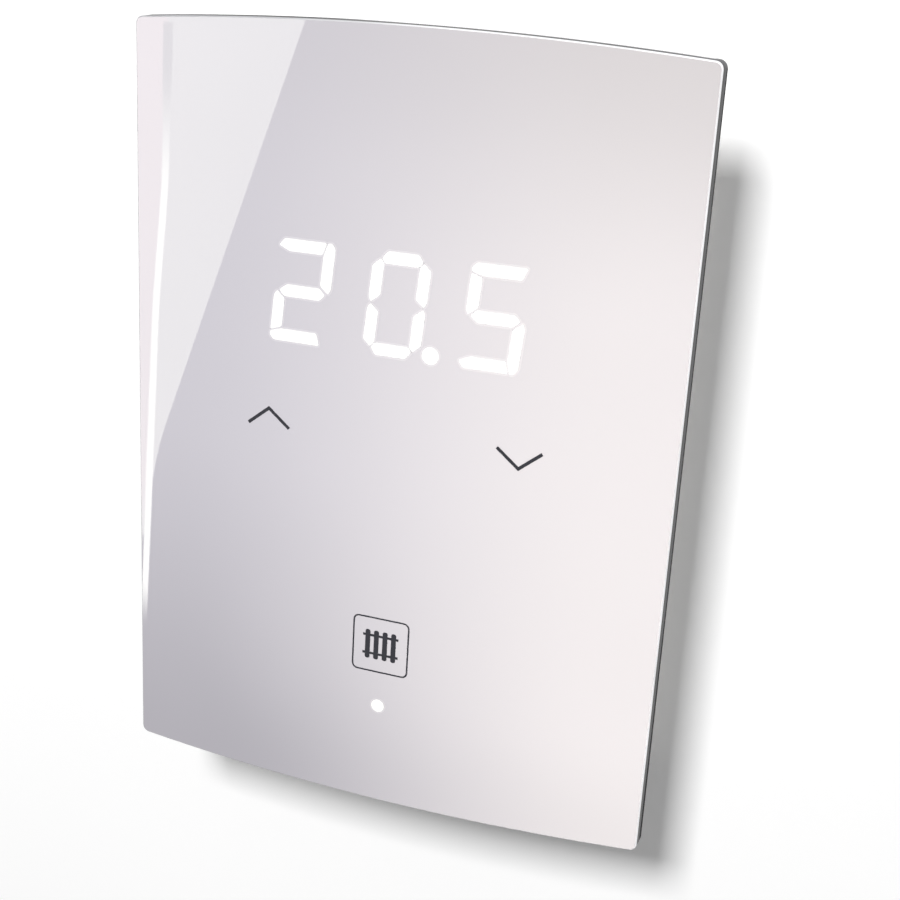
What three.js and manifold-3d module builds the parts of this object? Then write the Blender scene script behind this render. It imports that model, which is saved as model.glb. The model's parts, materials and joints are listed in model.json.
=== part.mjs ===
// Wall thermostat: a printed front lens on a slim head that clips onto a wall plate and holds the batteries.
//
// Frame: +Z up, +Y into the wall, the lens faces -Y. The origin is the centre of the wall plate's back face.
// Units are millimetres. A depth is a distance from the wall towards the room, so depth d lies at y = -d.

import * as THREE from "three";
import { mergeVertices } from "three/addons/utils/BufferGeometryUtils.js";
import Module from "manifold-3d";

// ---------------------------------------------------------------- driving dimensions

const LENS = { width: 84, cornerHeight: 114.4, crown: 1.65, cornerRadius: 1.2, thickness: 3, bulge: 0.8 };
const COVER = { width: 74, height: 105.6, radius: 4, wall: 1.8 };
const PLATE = { width: 69.4, height: 101, radius: 2.2, thickness: 2, rim: 1.4 };
const BOARD = { width: 62, height: 88, thickness: 1.4 };
const AAA = { radius: 5.25, length: 44.5, nubRadius: 1.9, nubLength: 1 };

// Depths of the stack, from the wall plate out to the lens.
const DEPTH = {
  plateRim: 4.6,
  coverMouth: 0.6,
  partition: 5.6,
  coverEnd: 16.9,
  bayMouth: 0.8,
  bayFloor: 13,
  battery: 7.6,
  board: 14.4,
  frame: 17,
  film: 19.5,
  lens: 19.8,
};
const GAP = 0.1; // between pieces that touch in the real object
const PARTITION = 1.6;
const FRAME_THICKNESS = 2.2;
const FILM_THICKNESS = 0.2; // a milky film that hides the inside and spreads the display's light

// The battery bay opens at the back of the cover, above the wall plate's middle bar.
const BAY = { halfWidth: 24.4, low: 4.6, high: 27, wall: 1.1, floor: 1 };
const BATTERY_Z = { lower: 10.15, upper: 21.35 };
const LID = { thickness: 1.2, hingeZ: 25.6, hingeDepth: 2, pinRadius: 0.7, boreRadius: 0.9 };

// The cable bay opens below the bar, and holds the terminal block for an external sensor.
const CABLE_BAY = { halfWidth: 13, low: -22.5, high: -4, wall: 1 };
const TERMINAL = { width: 10.4, height: 8, z: -9.2, back: 6, polePitch: 5 };
const BUTTON = { x: 20, z: -14, radius: 1.5, travel: 0.3 };

// What shows through the lens: three slanted digits, two touch arrows, a menu key and an indicator.
const DIGIT = { pitch: 14.55, middleZ: 20.75, rowPitch: 6.6, barPitch: 7, bar: 2, slant: 0.1 };
const POINT = { x: 5.55, z: 14.3, radius: 1.3 };
const TOUCH = { arrowX: 19.5, arrowZ: 1.15, menuZ: -32.1, springRadius: 4, holeRadius: 5.2 };
const INDICATOR = { z: -42.25, radius: 1 };

// Fixings.
const PILLAR = { x: 29.5, z: 46.5, radius: 2.4 };
const BOARD_SCREW = { x: 28, z: 36 };
const POST = { x: 31, z: 36, width: 2, height: 6, end: 8.4 };
const BOX_SLOT = { x: 30.15, width: 4.4, length: 8 }; // screws 60.3 mm apart, as on a standard wall box

// ---------------------------------------------------------------- materials

const material = (color, roughness, metalness = 0) =>
  new THREE.MeshStandardMaterial({ color, roughness, metalness });
const PRINTED_LENS = material(0xe4e2e6, 0.08);
const MILKY_FILM = material(0xdedadf, 0.4);
const WHITE_PLASTIC = material(0xe9e8e6, 0.55);
const GREY_PLASTIC = material(0xb9babd, 0.6);
const BLACK_PLASTIC = material(0x232426, 0.5);
const TERMINAL_GREEN = material(0x2f7f56, 0.5);
const BOARD_GREEN = material(0x1f5b3c, 0.45);
const STEEL = material(0xc9cbce, 0.3, 1);
const NICKEL = material(0xd6d4cd, 0.25, 1);
const BATTERY_JACKET = material(0x3c4a63, 0.35, 0.3);
const DIFFUSER = material(0xf4f4f2, 0.5);

// ---------------------------------------------------------------- solids

const wasm = await Module();
wasm.setup();

// A closed three.js geometry as a solid that can be joined and cut.
function solid(geometry) {
  const bare = new THREE.BufferGeometry();
  bare.setAttribute("position", geometry.getAttribute("position"));
  bare.setIndex(geometry.index);
  const merged = mergeVertices(bare, 1e-4);
  return new wasm.Manifold(
    new wasm.Mesh({
      numProp: 3,
      vertProperties: merged.attributes.position.array,
      triVerts: new Uint32Array(merged.index.array),
    }),
  );
}

function geometryOf(made) {
  const mesh = made.getMesh();
  const geometry = new THREE.BufferGeometry();
  geometry.setAttribute("position", new THREE.BufferAttribute(mesh.vertProperties, 3));
  geometry.setIndex(new THREE.BufferAttribute(mesh.triVerts, 1));
  geometry.computeVertexNormals();
  return geometry;
}

const join = (...solids) => solids.reduce((all, next) => all.add(next));
const cut = (body, ...tools) => tools.reduce((left, tool) => left.subtract(tool), body);

// A box between two x values, two depths and two heights.
function block([x0, x1], [d0, d1], [z0, z1]) {
  const geometry = new THREE.BoxGeometry(x1 - x0, d1 - d0, z1 - z0);
  return solid(geometry.translate((x0 + x1) / 2, -(d0 + d1) / 2, (z0 + z1) / 2));
}

// A round bar along the depth, or a cone where the two radii differ.
function rod(x, z, radius, [d0, d1], sides = 16, endRadius = radius) {
  const geometry = new THREE.CylinderGeometry(radius, endRadius, d1 - d0, sides);
  return solid(geometry.translate(x, -(d0 + d1) / 2, z));
}

// A round bar along X.
function crossRod(depth, z, radius, [x0, x1], sides = 16, endRadius = radius) {
  const geometry = new THREE.CylinderGeometry(endRadius, radius, x1 - x0, sides);
  geometry.rotateZ(-Math.PI / 2);
  return solid(geometry.translate((x0 + x1) / 2, -depth, z));
}

// A shape drawn in x and z, made solid between two depths.
function prism(shape, [d0, d1], curveSegments = 4) {
  const settings = { depth: d1 - d0, bevelEnabled: false, curveSegments };
  const geometry = new THREE.ExtrudeGeometry(shape, settings);
  return solid(indexed(geometry.rotateX(Math.PI / 2).translate(0, -d0, 0)));
}

// ExtrudeGeometry has no index, and solid() reads one.
function indexed(geometry) {
  geometry.deleteAttribute("normal");
  geometry.deleteAttribute("uv");
  return mergeVertices(geometry, 1e-4);
}

function roundedRect(width, height, radius, x = 0, z = 0) {
  const [a, b] = [width / 2 - radius, height / 2 - radius];
  const shape = new THREE.Shape();
  shape.absarc(x + a, z + b, radius, 0, Math.PI / 2);
  shape.absarc(x - a, z + b, radius, Math.PI / 2, Math.PI);
  shape.absarc(x - a, z - b, radius, Math.PI, 1.5 * Math.PI);
  shape.absarc(x + a, z - b, radius, 1.5 * Math.PI, 2 * Math.PI);
  return shape;
}

// The lens outline: straight sides, and a top and bottom edge that each rise by crown in the middle.
function crownedRect({ width, cornerHeight, crown, cornerRadius: r }, inset = 0) {
  const half = width / 2;
  const arcRadius = half ** 2 / (2 * crown) + crown / 2;
  const arcZ = cornerHeight / 2 + crown - arcRadius;
  const cornerX = half - r;
  const cornerZ = arcZ + Math.sqrt((arcRadius - r) ** 2 - cornerX ** 2);
  const turn = Math.atan2(cornerZ - arcZ, cornerX);
  const [small, large] = [r - inset, arcRadius - inset];
  const shape = new THREE.Shape();
  shape.absarc(cornerX, cornerZ, small, 0, turn);
  shape.absarc(0, arcZ, large, turn, Math.PI - turn);
  shape.absarc(-cornerX, cornerZ, small, Math.PI - turn, Math.PI);
  shape.absarc(-cornerX, -cornerZ, small, Math.PI, Math.PI + turn);
  shape.absarc(0, -arcZ, large, Math.PI + turn, 2 * Math.PI - turn);
  shape.absarc(cornerX, -cornerZ, small, 2 * Math.PI - turn, 2 * Math.PI);
  return shape;
}

// A slot with round ends, standing upright.
function slotShape(x, z, width, length) {
  const [r, reach] = [width / 2, (length - width) / 2];
  const shape = new THREE.Shape();
  shape.absarc(x, z + reach, r, 0, Math.PI);
  shape.absarc(x, z - reach, r, Math.PI, 2 * Math.PI);
  return shape;
}

// ---------------------------------------------------------------- placing

const thermostat = new THREE.Group();
const wallSide = new THREE.Group();
const head = new THREE.Group();
thermostat.add(wallSide, head);

// Adds a solid to a group as a named mesh, at a place given as x, depth and z.
function add(group, name, made, look, x = 0, depth = 0, z = 0) {
  const mesh = new THREE.Mesh(geometryOf(made), look);
  mesh.name = name;
  mesh.position.set(x, -depth, z);
  group.add(mesh);
  return mesh;
}

const SIDES = [-1, 1];
const CORNERS = [
  ["upper_left", -1, 1],
  ["upper_right", 1, 1],
  ["lower_left", -1, -1],
  ["lower_right", 1, -1],
];

// ---------------------------------------------------------------- wall plate

function wallPlate() {
  const { width, height, radius, thickness, rim } = PLATE;
  const upperWindow = { half: 26.3, low: 2.7, high: 28.9 };
  const lowerWindow = { half: 16, low: -27, high: -2.7 };
  const through = [-1, DEPTH.plateRim + 1];
  const ribEnd = 3.6;
  const ribWidth = 1.2;

  const base = prism(roundedRect(width, height, radius), [0, DEPTH.plateRim]);
  const tray = prism(roundedRect(width - 2 * rim, height - 2 * rim, radius - rim), [thickness, 10]);
  let plate = cut(base, tray);

  for (const { half, low, high } of [upperWindow, lowerWindow]) {
    const shape = roundedRect(2 * (half + ribWidth), high - low + 2 * ribWidth, 2, 0, (low + high) / 2);
    plate = plate.add(prism(shape, [thickness / 2, ribEnd]));
  }
  for (const z of SIDES.map((side) => side * 32.5)) {
    plate = plate.add(block([-33.5, 33.5], [thickness / 2, ribEnd], [z - ribWidth / 2, z + ribWidth / 2]));
  }
  for (const { half, low, high } of [upperWindow, lowerWindow]) {
    plate = plate.subtract(prism(roundedRect(2 * half, high - low, 1.2, 0, (low + high) / 2), through));
  }

  for (const side of SIDES) {
    const slotPad = slotShape(side * BOX_SLOT.x, 0, BOX_SLOT.width + 3, BOX_SLOT.length + 3);
    plate = plate.add(prism(slotPad, [thickness / 2, thickness + 0.6]));
    plate = plate.subtract(prism(slotShape(side * BOX_SLOT.x, 0, BOX_SLOT.width, BOX_SLOT.length), through));
  }
  const [wallHole, headRecess] = [2.1, 3.8];
  for (const [, sx, sz] of CORNERS) {
    plate = cut(plate, rod(sx * 24, sz * 42.5, wallHole, through, 12));
    plate = cut(plate, rod(sx * 24, sz * 42.5, headRecess, [1.2, 3], 12));
    const [px, pz] = [sx * POST.x, sz * POST.z];
    const [halfX, halfZ] = [POST.width / 2, POST.height / 2];
    plate = plate.add(block([px - halfX, px + halfX], [1, POST.end], [pz - halfZ, pz + halfZ]));
  }

  // A keyhole to hang the plate on one screw, an entry for a surface cable, and an arrow that points up.
  const keyhole = join(rod(0, 40, 3.9, through), prism(slotShape(0, 44, 4.2, 8), through));
  const cableEntry = prism(roundedRect(9, 9, 1.5, 0, -height / 2), through);
  const arrow = new THREE.Shape([
    new THREE.Vector2(-2.5, -40),
    new THREE.Vector2(2.5, -40),
    new THREE.Vector2(0, -35.5),
  ]);
  return cut(plate, keyhole, cableEntry).add(prism(arrow, [1, thickness + 0.4]));
}

add(wallSide, "wall_plate", wallPlate(), WHITE_PLASTIC);

// ---------------------------------------------------------------- rear cover

function rearCover() {
  const { width, height, radius, wall } = COVER;
  const [innerWidth, innerHeight, innerRadius] = [width - 2 * wall, height - 2 * wall, radius - wall];
  const outer = prism(roundedRect(width, height, radius), [DEPTH.coverMouth, DEPTH.coverEnd]);
  const partitionEnd = DEPTH.partition + PARTITION;
  const inner = roundedRect(innerWidth, innerHeight, innerRadius);
  let cover = cut(
    outer,
    prism(inner, [DEPTH.coverMouth - 1, DEPTH.partition]),
    prism(inner, [partitionEnd, DEPTH.coverEnd + 1]),
  );

  // Battery bay: four walls and a floor, open at the back.
  const { halfWidth, low, high, wall: bayWall, floor } = BAY;
  const bayOut = [-halfWidth - bayWall, halfWidth + bayWall];
  cover = cover.add(block(bayOut, [DEPTH.bayMouth, DEPTH.bayFloor + floor], [low - bayWall, high + bayWall]));
  cover = cover.subtract(block([-halfWidth, halfWidth], [-1, DEPTH.bayFloor], [low, high]));

  // Cable bay: a shaft from the partition to the board.
  const shaft = CABLE_BAY;
  const shaftOut = [-shaft.halfWidth - shaft.wall, shaft.halfWidth + shaft.wall];
  const shaftHeights = [shaft.low - shaft.wall, Math.min(shaft.high + shaft.wall, low - bayWall)];
  cover = cover.add(block(shaftOut, [DEPTH.partition, DEPTH.board - 0.5], shaftHeights));
  cover = cover.subtract(block([-shaft.halfWidth, shaft.halfWidth], [0, DEPTH.board], [shaft.low, shaft.high]));

  // Hinge bores, the notch for the lid's tab, and slots for the battery contacts' tails.
  const { hingeDepth, hingeZ, boreRadius } = LID;
  cover = cut(cover, crossRod(hingeDepth, hingeZ, boreRadius, [-30, 30]));
  cover = cut(cover, block([-5, 5], [0, 2.4], [low - bayWall - 0.1, low + 0.1]));
  for (const side of SIDES) {
    for (const z of Object.values(BATTERY_Z)) {
      const [near, far] = [side * 23.6, side * halfWidth].sort((a, b) => a - b);
      cover = cut(cover, block([near, far], [DEPTH.bayFloor - 0.1, DEPTH.bayFloor + floor + 0.1], [z - 1.4, z + 1.4]));
    }
  }

  // Holes in the partition: cover screws, the wall plate's posts and the pairing button.
  const through = [DEPTH.partition - 1, partitionEnd + 1];
  for (const [, sx, sz] of CORNERS) {
    const [px, pz] = [sx * POST.x, sz * POST.z];
    const [halfX, halfZ] = [POST.width / 2 + 0.4, POST.height / 2 + 0.4];
    cover = cut(
      cover,
      rod(sx * PILLAR.x, sz * PILLAR.z, 1.3, through, 12),
      block([px - halfX, px + halfX], through, [pz - halfZ, pz + halfZ]),
    );
  }
  cover = cut(cover, rod(BUTTON.x, BUTTON.z, BUTTON.radius + 0.4, through));

  // Air slots through the top and bottom walls.
  const [slots, pitch, halfSlot] = [9, 4, 0.8];
  for (let i = 0; i < slots; i++) {
    const x = (i - (slots - 1) / 2) * pitch;
    for (const side of SIDES) {
      const [z0, z1] = [side * (height / 2 - wall - 0.5), side * (height / 2 + 0.5)].sort((a, b) => a - b);
      cover = cut(cover, block([x - halfSlot, x + halfSlot], [9, 15.4], [z0, z1]));
    }
  }
  return cover;
}

add(head, "rear_cover", rearCover(), WHITE_PLASTIC);

// ---------------------------------------------------------------- lens, film, tape and frame

function frontLens() {
  const { width, thickness, bulge } = LENS;
  const reach = thickness + bulge;
  const slab = prism(crownedRect(LENS), [0, reach + 1], 8);
  // The front is part of a wide upright cylinder, so it stands bulge proud in the middle.
  const arcRadius = (width / 2) ** 2 / (2 * bulge) + bulge / 2;
  const centreY = arcRadius - reach;
  const halfTurn = Math.asin((width / 2 + 1) / arcRadius);
  const section = new THREE.Shape();
  section.absarc(0, centreY, arcRadius, -Math.PI / 2 - halfTurn, -Math.PI / 2 + halfTurn);
  section.lineTo(width / 2 + 1, 1);
  section.lineTo(-width / 2 - 1, 1);
  const height = LENS.cornerHeight + 2 * LENS.crown + 2;
  const bowed = new THREE.ExtrudeGeometry(section, { depth: height, bevelEnabled: false, curveSegments: 16 });
  return slab.intersect(solid(indexed(bowed.translate(0, 0, -height / 2))));
}

const FRAME_OUTLINE = { width: 76.4, height: 108, radius: 4.5 };
const DISPLAY_WINDOW = { left: -24, right: 23.6, low: 10.6, high: 31 };

function frontFrame() {
  const { width, height, radius } = FRAME_OUTLINE;
  const end = DEPTH.frame + FRAME_THICKNESS;
  const panel = prism(roundedRect(width, height, radius), [DEPTH.frame, end]);
  const lipGap = 0.4;
  const [lipWidth, lipHeight] = [COVER.width - 2 * COVER.wall - lipGap, COVER.height - 2 * COVER.wall - lipGap];
  const lipDepths = [DEPTH.board + BOARD.thickness + GAP, DEPTH.frame + 0.1];
  const lip = cut(
    prism(roundedRect(lipWidth, lipHeight, 2), lipDepths),
    prism(roundedRect(lipWidth - 2.4, lipHeight - 2.4, 1), [0, 30]),
  );
  let frame = join(panel, lip);
  for (const [, sx, sz] of CORNERS) {
    const [x, z] = [sx * PILLAR.x, sz * PILLAR.z];
    const pillarStart = DEPTH.partition + PARTITION + 0.2;
    frame = frame.add(rod(x, z, PILLAR.radius, [pillarStart, DEPTH.frame + 0.1], 12));
    frame = frame.subtract(rod(x, z, 1.2, [pillarStart - 1, 14], 12));
    const [bx, bz] = [sx * BOARD_SCREW.x, sz * BOARD_SCREW.z];
    frame = frame.add(rod(bx, bz, 2.2, lipDepths, 12));
    frame = frame.subtract(rod(bx, bz, 1, [15, 18.4], 12));
  }
  const through = [0, 30];
  const { left, right, low, high } = DISPLAY_WINDOW;
  frame = cut(
    frame,
    block([left, right], through, [low, high]),
    rod(0, TOUCH.menuZ, TOUCH.holeRadius, through),
    rod(0, INDICATOR.z, INDICATOR.radius + 0.6, through),
    ...SIDES.map((side) => rod(side * TOUCH.arrowX, TOUCH.arrowZ, TOUCH.holeRadius, through)),
  );
  return frame;
}

// A frame of double-sided tape that holds the lens and its film to the front frame.
function lensTape() {
  const { width, height, radius } = FRAME_OUTLINE;
  const outer = prism(roundedRect(width - 1, height - 1, radius - 0.5), [0, 0.2]);
  return outer.subtract(prism(roundedRect(width - 13, height - 13, 2), [-1, 1]));
}

add(head, "front_lens", frontLens(), PRINTED_LENS, 0, DEPTH.lens);
add(head, "backing_film", prism(crownedRect(LENS, 0.5), [0, FILM_THICKNESS], 8), MILKY_FILM, 0, DEPTH.film);
add(head, "lens_tape", lensTape(), BLACK_PLASTIC, 0, DEPTH.frame + FRAME_THICKNESS + 0.05);
add(head, "front_frame", frontFrame(), GREY_PLASTIC);

// ---------------------------------------------------------------- board, display and touch keys

function mainBoard() {
  const { width, height, thickness } = BOARD;
  let board = prism(roundedRect(width, height, 1.5), [0, thickness]);
  const through = [-1, thickness + 1];
  for (const [, sx, sz] of CORNERS) {
    board = cut(board, rod(sx * BOARD_SCREW.x, sz * BOARD_SCREW.z, 1.3, through, 12));
  }
  // Two slots leave the temperature sensor on a tongue, away from the board's own heat.
  for (const x of [9, 16]) {
    board = cut(board, block([x - 0.5, x + 0.5], through, [-height / 2 - 1, -height / 2 + 7]));
  }
  return board;
}

// The seven bars of one digit, as outlines in x and z about the digit's middle, slanted to the right.
function digitBars() {
  const { rowPitch, barPitch, bar, slant } = DIGIT;
  const half = bar / 2;
  const hexagon = (x, z, reach, upright) => {
    const shoulder = reach - half;
    const upperHalf = [[-reach, 0], [-shoulder, half], [shoulder, half]];
    const corners = [...upperHalf, ...upperHalf.map(([u, v]) => [-u, -v])];
    const points = corners.map(([u, v]) => (upright ? [x + v, z + u] : [x + u, z + v]));
    return new THREE.Shape(points.map(([u, v]) => new THREE.Vector2(u + slant * v, v)));
  };
  const web = 0.35; // left between neighbouring bars
  const rows = [rowPitch, 0, -rowPitch].map((z) => hexagon(0, z, barPitch / 2 - web, false));
  const uprights = SIDES.flatMap((sx) =>
    SIDES.map((sz) => hexagon((sx * barPitch) / 2, (sz * rowPitch) / 2, rowPitch / 2 - web, true)),
  );
  return [...rows, ...uprights];
}

function displayReflector() {
  const { left, right, low, high } = DISPLAY_WINDOW;
  const depth = 3;
  const clear = 0.3;
  const [x0, x1] = [left + clear, right - clear];
  const [z0, z1] = [low + clear - DIGIT.middleZ, high - clear - DIGIT.middleZ];
  let reflector = block([x0, x1], [0, depth], [z0, z1]);
  for (const place of [-1, 0, 1]) {
    for (const bar of digitBars()) {
      const well = prism(bar, [-1, depth + 1]).translate([place * DIGIT.pitch, 0, 0]);
      reflector = reflector.subtract(well);
    }
  }
  return cut(reflector, rod(POINT.x, POINT.z - DIGIT.middleZ, POINT.radius, [-1, depth + 1]));
}

// A touch key's spring, as the closed sleeve that its coil fills.
function touchSpring(height) {
  const outer = TOUCH.springRadius;
  return cut(rod(0, 0, outer, [0, height], 20), rod(0, 0, outer - 0.8, [-1, height - 0.5], 20));
}

// The indicator's light pipe: a stem with a flange that rests behind the frame.
function lightPipe(length) {
  return join(rod(0, 0, INDICATOR.radius, [0, length]), rod(0, 0, INDICATOR.radius + 0.4, [0, 0.7]));
}

const boardFront = DEPTH.board + BOARD.thickness;
const filmBack = DEPTH.film - 0.05;
const displayX = 0.1;

add(head, "main_board", mainBoard(), BOARD_GREEN, 0, DEPTH.board);
add(head, "display_reflector", displayReflector(), GREY_PLASTIC, displayX, boardFront + GAP, DIGIT.middleZ);
add(
  head,
  "display_diffuser",
  block([-23.4, 23], [0, 0.4], [-9.6, 9.6]),
  DIFFUSER,
  displayX,
  boardFront + 3 + 2 * GAP,
  DIGIT.middleZ,
);
const springHeight = filmBack - boardFront - GAP;
for (const [name, x, z] of [
  ["touch_spring_up", -TOUCH.arrowX, TOUCH.arrowZ],
  ["touch_spring_down", TOUCH.arrowX, TOUCH.arrowZ],
  ["touch_spring_menu", 0, TOUCH.menuZ],
]) {
  add(head, name, touchSpring(springHeight), STEEL, x, boardFront + GAP, z);
}
add(head, "indicator_led", block([-1, 1], [0, 0.6], [-0.6, 0.6]), DIFFUSER, 0, boardFront + GAP, INDICATOR.z);
const pipeStart = boardFront + 0.8;
add(head, "indicator_light_pipe", lightPipe(filmBack - pipeStart), DIFFUSER, 0, pipeStart, INDICATOR.z);

// ---------------------------------------------------------------- parts on the back of the board

// Parts on the board's back are drawn from depth 0, away from the wall, with their feet at their own height.
const boardBack = DEPTH.board - GAP;
function addOnBoard(name, made, height, look, x, z) {
  add(head, name, made, look, x, boardBack - height, z);
}

function buzzer(height) {
  return cut(rod(0, 0, 6, [0, height], 24), rod(0, 0, 1, [-1, 1.2], 10));
}

// A bead on two leads that stand on the board.
function temperatureSensor(height) {
  const bead = solid(new THREE.SphereGeometry(1.2, 12, 8).translate(0, -1.2, 0));
  return join(bead, ...SIDES.map((side) => rod(side * 0.6, 0, 0.25, [1.2, height], 6)));
}

// A sheet-metal radio antenna: a strip held off the board on two legs.
function antenna(height) {
  const strip = block([-9, 9], [0, 0.4], [-1.5, 1.5]);
  return join(strip, ...[-8.8, -4.8].map((x) => block([x - 0.2, x + 0.2], [0.2, height], [-1, 1])));
}

function switchBody(height) {
  return cut(block([-3, 3], [0, height], [-3, 3]), rod(0, 0, BUTTON.radius + 0.25, [-1, 1.5]));
}

const SWITCH_HEIGHT = 3.4;
addOnBoard("microcontroller", block([-3.5, 3.5], [0, 1], [-3.5, 3.5]), 1, BLACK_PLASTIC, 20, -31);
addOnBoard("radio_module", prism(roundedRect(15, 12, 0.6), [0, 2.4], 2), 2.4, STEEL, -17.5, -29.6);
addOnBoard("radio_antenna", antenna(4.4), 4.4, NICKEL, -14, -40.5);
addOnBoard("piezo_buzzer", buzzer(3.2), 3.2, BLACK_PLASTIC, -20, 36.5);
addOnBoard("capacitor", rod(0, 0, 2.6, [0, 5.6], 20), 5.6, BATTERY_JACKET, 0, 37);
addOnBoard("inductor", prism(roundedRect(5.6, 5.6, 1), [0, 2.8], 3), 2.8, BLACK_PLASTIC, 10, 37);
addOnBoard("temperature_sensor", temperatureSensor(4.2), 4.2, BLACK_PLASTIC, 12.5, -42);
addOnBoard("pairing_switch", switchBody(SWITCH_HEIGHT), SWITCH_HEIGHT, BLACK_PLASTIC, BUTTON.x, BUTTON.z);

const switchBack = boardBack - SWITCH_HEIGHT;
const plungerDepths = [0, switchBack + 1.1 - 6.4];
add(head, "pairing_button", rod(0, 0, BUTTON.radius, plungerDepths), GREY_PLASTIC, BUTTON.x, 6.4, BUTTON.z);

// ---------------------------------------------------------------- batteries and their contacts

// A cell along X, with its button towards +X.
function cell() {
  const { radius, length, nubRadius, nubLength } = AAA;
  const can = crossRod(0, 0, radius, [-length / 2, length / 2 - nubLength], 24);
  return can.add(crossRod(0, 0, nubRadius, [length / 2 - nubLength - 0.1, length / 2], 12));
}

const CONTACT = { plate: 0.4, reach: 1.4, halfWidth: 3.2 };

// A sheet contact at the bay's +X end: a plate, the spring or dimple that presses on the cell, and a tail to the board.
function contact({ sprung, height = 0 }) {
  const { plate, reach, halfWidth } = CONTACT;
  const [rootRadius, tipRadius] = sprung ? [3, 1.9] : [2.4, 1.3];
  const top = DEPTH.battery - 4;
  const tail = [DEPTH.battery - 1, boardBack];
  return join(
    block([0, plate], [top, DEPTH.battery + 4], [-halfWidth, halfWidth + height]),
    crossRod(DEPTH.battery, 0, tipRadius, [-reach, 0.1], 16, rootRadius),
    block([0, plate], tail, [-1, 1]),
  );
}

const contactX = AAA.length / 2 + GAP + CONTACT.reach;
add(head, "battery_upper", cell(), BATTERY_JACKET, 0, DEPTH.battery, BATTERY_Z.upper);
const lower = add(head, "battery_lower", cell(), BATTERY_JACKET, 0, DEPTH.battery, BATTERY_Z.lower);
lower.rotation.z = Math.PI; // the cells lie in series, head to tail

add(head, "battery_contact_positive", contact({ sprung: false }), NICKEL, contactX, 0, BATTERY_Z.upper);
add(head, "battery_contact_negative", contact({ sprung: true }), NICKEL, contactX, 0, BATTERY_Z.lower);

// The bridge joins the two cells at the other end, with a dimple for the lower and a spring for the upper.
function contactBridge() {
  const { plate, halfWidth, reach } = CONTACT;
  const step = BATTERY_Z.upper - BATTERY_Z.lower;
  const [top, bottom] = [DEPTH.battery - 4, DEPTH.battery + 4];
  return join(
    block([-plate, 0], [top, bottom], [-halfWidth, step + halfWidth]),
    crossRod(DEPTH.battery, 0, 2.4, [-0.1, reach], 16, 1.3),
    crossRod(DEPTH.battery, step, 3, [-0.1, reach], 16, 1.9),
  );
}

add(head, "battery_contact_bridge", contactBridge(), NICKEL, -contactX, 0, BATTERY_Z.lower);

// ---------------------------------------------------------------- battery lid

// The lid is drawn about its hinge: z runs down from 0, and depth 0 is the hinge axis.
function batteryLid() {
  const { thickness, pinRadius, hingeZ, hingeDepth } = LID;
  const outside = DEPTH.bayMouth + GAP - hingeDepth;
  const depths = [outside, outside + thickness];
  const half = BAY.halfWidth - 0.2;
  const [top, bottom] = [0.8, BAY.low + 0.2 - hingeZ];
  let lid = block([-half, half], depths, [bottom, top]);
  lid = lid.add(block([-4.2, 4.2], depths, [bottom - 0.8, bottom + 0.1]));
  for (const side of SIDES) {
    const [x0, x1] = [side * (half - 1.4), side * half].sort((a, b) => a - b);
    const [p0, p1] = [side * (half - 0.1), side * (half + 0.8)].sort((a, b) => a - b);
    lid = lid.add(crossRod(0, 0, 1, [x0, x1], 12));
    lid = lid.add(crossRod(0, 0, pinRadius, [p0, p1], 12));
  }
  // Grooves for a fingernail beside the tab.
  for (const row of [0, 1, 2]) {
    const z = bottom + 1.6 + row * 1.6;
    lid = lid.subtract(block([-6, 6], [outside - 1, outside + 0.3], [z, z + 0.8]));
  }
  return lid;
}

add(head, "battery_lid", batteryLid(), WHITE_PLASTIC, 0, LID.hingeDepth, LID.hingeZ);

// ---------------------------------------------------------------- terminal block

const POLE = { halfWidth: 1.8, halfHeight: 2.6, pocket: [2, 7.6], headHole: 1.9 };
const CLAMP = { thickness: 1.6, start: 5.4 };

function terminalBlock() {
  const { width, height, back, polePitch } = TERMINAL;
  const depth = boardBack - back;
  let body = block([-width / 2, width / 2], [0, depth], [-height / 2, height / 2]);
  for (const side of SIDES) {
    const x = (side * polePitch) / 2;
    const { halfWidth, halfHeight, pocket, headHole } = POLE;
    body = cut(
      body,
      block([x - halfWidth, x + halfWidth], pocket, [-halfHeight, halfHeight]),
      rod(x, 0, headHole, [-1, pocket[0] + 0.1]),
      block([x - 1.5, x + 1.5], [3.2, 6.4], [-height / 2 - 1, 0]),
    );
  }
  return body;
}

// A captive screw: a slotted head in the housing's hole, and a shank through the clamp.
function terminalScrew() {
  const head = rod(0, 0, 1.6, [0, 1.2]);
  const shank = rod(0, 0, 1, [1.1, 7], 12);
  return join(head, shank).subtract(block([-2, 2], [-1, 0.5], [-0.25, 0.25]));
}

function terminalClamp() {
  const { halfWidth, halfHeight } = POLE;
  const jaw = block([0.2 - halfWidth, halfWidth - 0.2], [0, CLAMP.thickness], [0.3 - halfHeight, halfHeight - 0.3]);
  return jaw.subtract(rod(0, 0, 1.15, [-1, CLAMP.thickness + 1], 12));
}

add(head, "terminal_block", terminalBlock(), TERMINAL_GREEN, 0, TERMINAL.back, TERMINAL.z);
for (const [name, side] of [["left", -1], ["right", 1]]) {
  const x = (side * TERMINAL.polePitch) / 2;
  add(head, `terminal_screw_${name}`, terminalScrew(), NICKEL, x, TERMINAL.back + 0.6, TERMINAL.z);
  add(head, `terminal_clamp_${name}`, terminalClamp(), NICKEL, x, TERMINAL.back + CLAMP.start, TERMINAL.z);
}

// ---------------------------------------------------------------- screws that hold the head together

// A pan-head screw along the depth, with a cross recess.
function screw(headRadius, headHeight, shankRadius, length) {
  const head = rod(0, 0, headRadius - 0.3, [0, headHeight], 12, headRadius);
  const shank = rod(0, 0, shankRadius, [headHeight - 0.1, headHeight + length], 8);
  const recess = [[0.9, 0.2], [0.2, 0.9]].map(([x, z]) => block([-x, x], [-1, 0.7], [-z, z]));
  return cut(join(head, shank), ...recess);
}

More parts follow.
